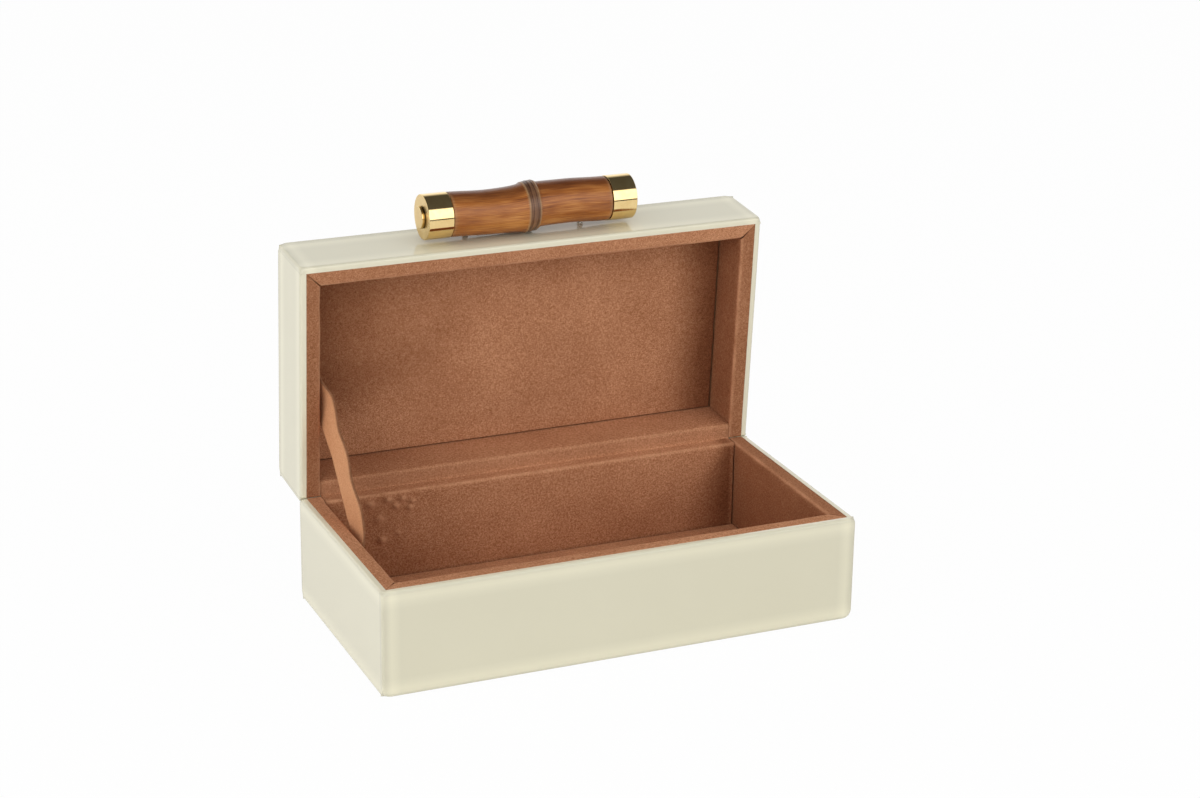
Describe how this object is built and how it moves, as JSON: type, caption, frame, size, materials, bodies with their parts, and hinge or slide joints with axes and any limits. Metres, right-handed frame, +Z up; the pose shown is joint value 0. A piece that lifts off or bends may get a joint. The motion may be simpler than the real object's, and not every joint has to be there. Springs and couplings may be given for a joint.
{
  "type": "storage box",
  "caption": "Hinged keepsake box clad in cream back-painted glass, lined in brown suede, with a suede stay and a bamboo handle in brass ferrules on the lid.",
  "frame": {"origin": "on the floor, under the middle of the base", "axes": "+Z up, +X to the right along the hinge, -Y to the front; the lid is stored open, as pictured"},
  "size_m": [0.254, 0.1643, 0.21],
  "materials": {
    "painted_glass": "clear polished glass, painted cream on its back",
    "board": "raw fibreboard",
    "suede": "brown suede, short nap",
    "strap_suede": "tan suede strap",
    "felt": "pressed felt",
    "bamboo": "varnished amber bamboo",
    "brass": "polished",
    "steel": "plain zinc-plated"
  },
  "bodies": {
    "base": {"base_front_board": "board", "base_back_board": "board", "base_right_board": "board", "base_left_board": "board", "base_bottom_board": "board", "base_front_glass": "painted_glass", "base_back_glass": "painted_glass", "base_right_glass": "painted_glass", "base_left_glass": "painted_glass", "base_front_lining": "suede", "base_right_lining": "suede", "base_left_lining": "suede", "base_hinge_sheet": "suede", "base_floor_lining": "suede", "base_felt": "felt", "stay_strap": "strap_suede"},
    "lid": {"lid_front_board": "board", "lid_back_board": "board", "lid_right_board": "board", "lid_left_board": "board", "lid_top_board": "board", "lid_front_glass": "painted_glass", "lid_back_glass": "painted_glass", "lid_right_glass": "painted_glass", "lid_left_glass": "painted_glass", "lid_top_glass": "painted_glass", "lid_front_lining": "suede", "lid_right_lining": "suede", "lid_left_lining": "suede", "lid_hinge_sheet": "suede", "lid_ceiling_lining": "suede", "handle_bamboo": "bamboo", "handle_left_ferrule": "brass", "handle_right_ferrule": "brass", "handle_left_stud": "brass", "handle_right_stud": "brass", "handle_left_screw": "steel", "handle_right_screw": "steel"}
  },
  "joints": [
    {"name": "lid_hinge", "type": "hinge", "parent": "base", "child": "lid", "pos_m": [0, 0.0617, 0.0561], "axis": [1, 0, 0], "range_deg": [0, 86], "deforming": ["stay_strap"]}
  ]
}
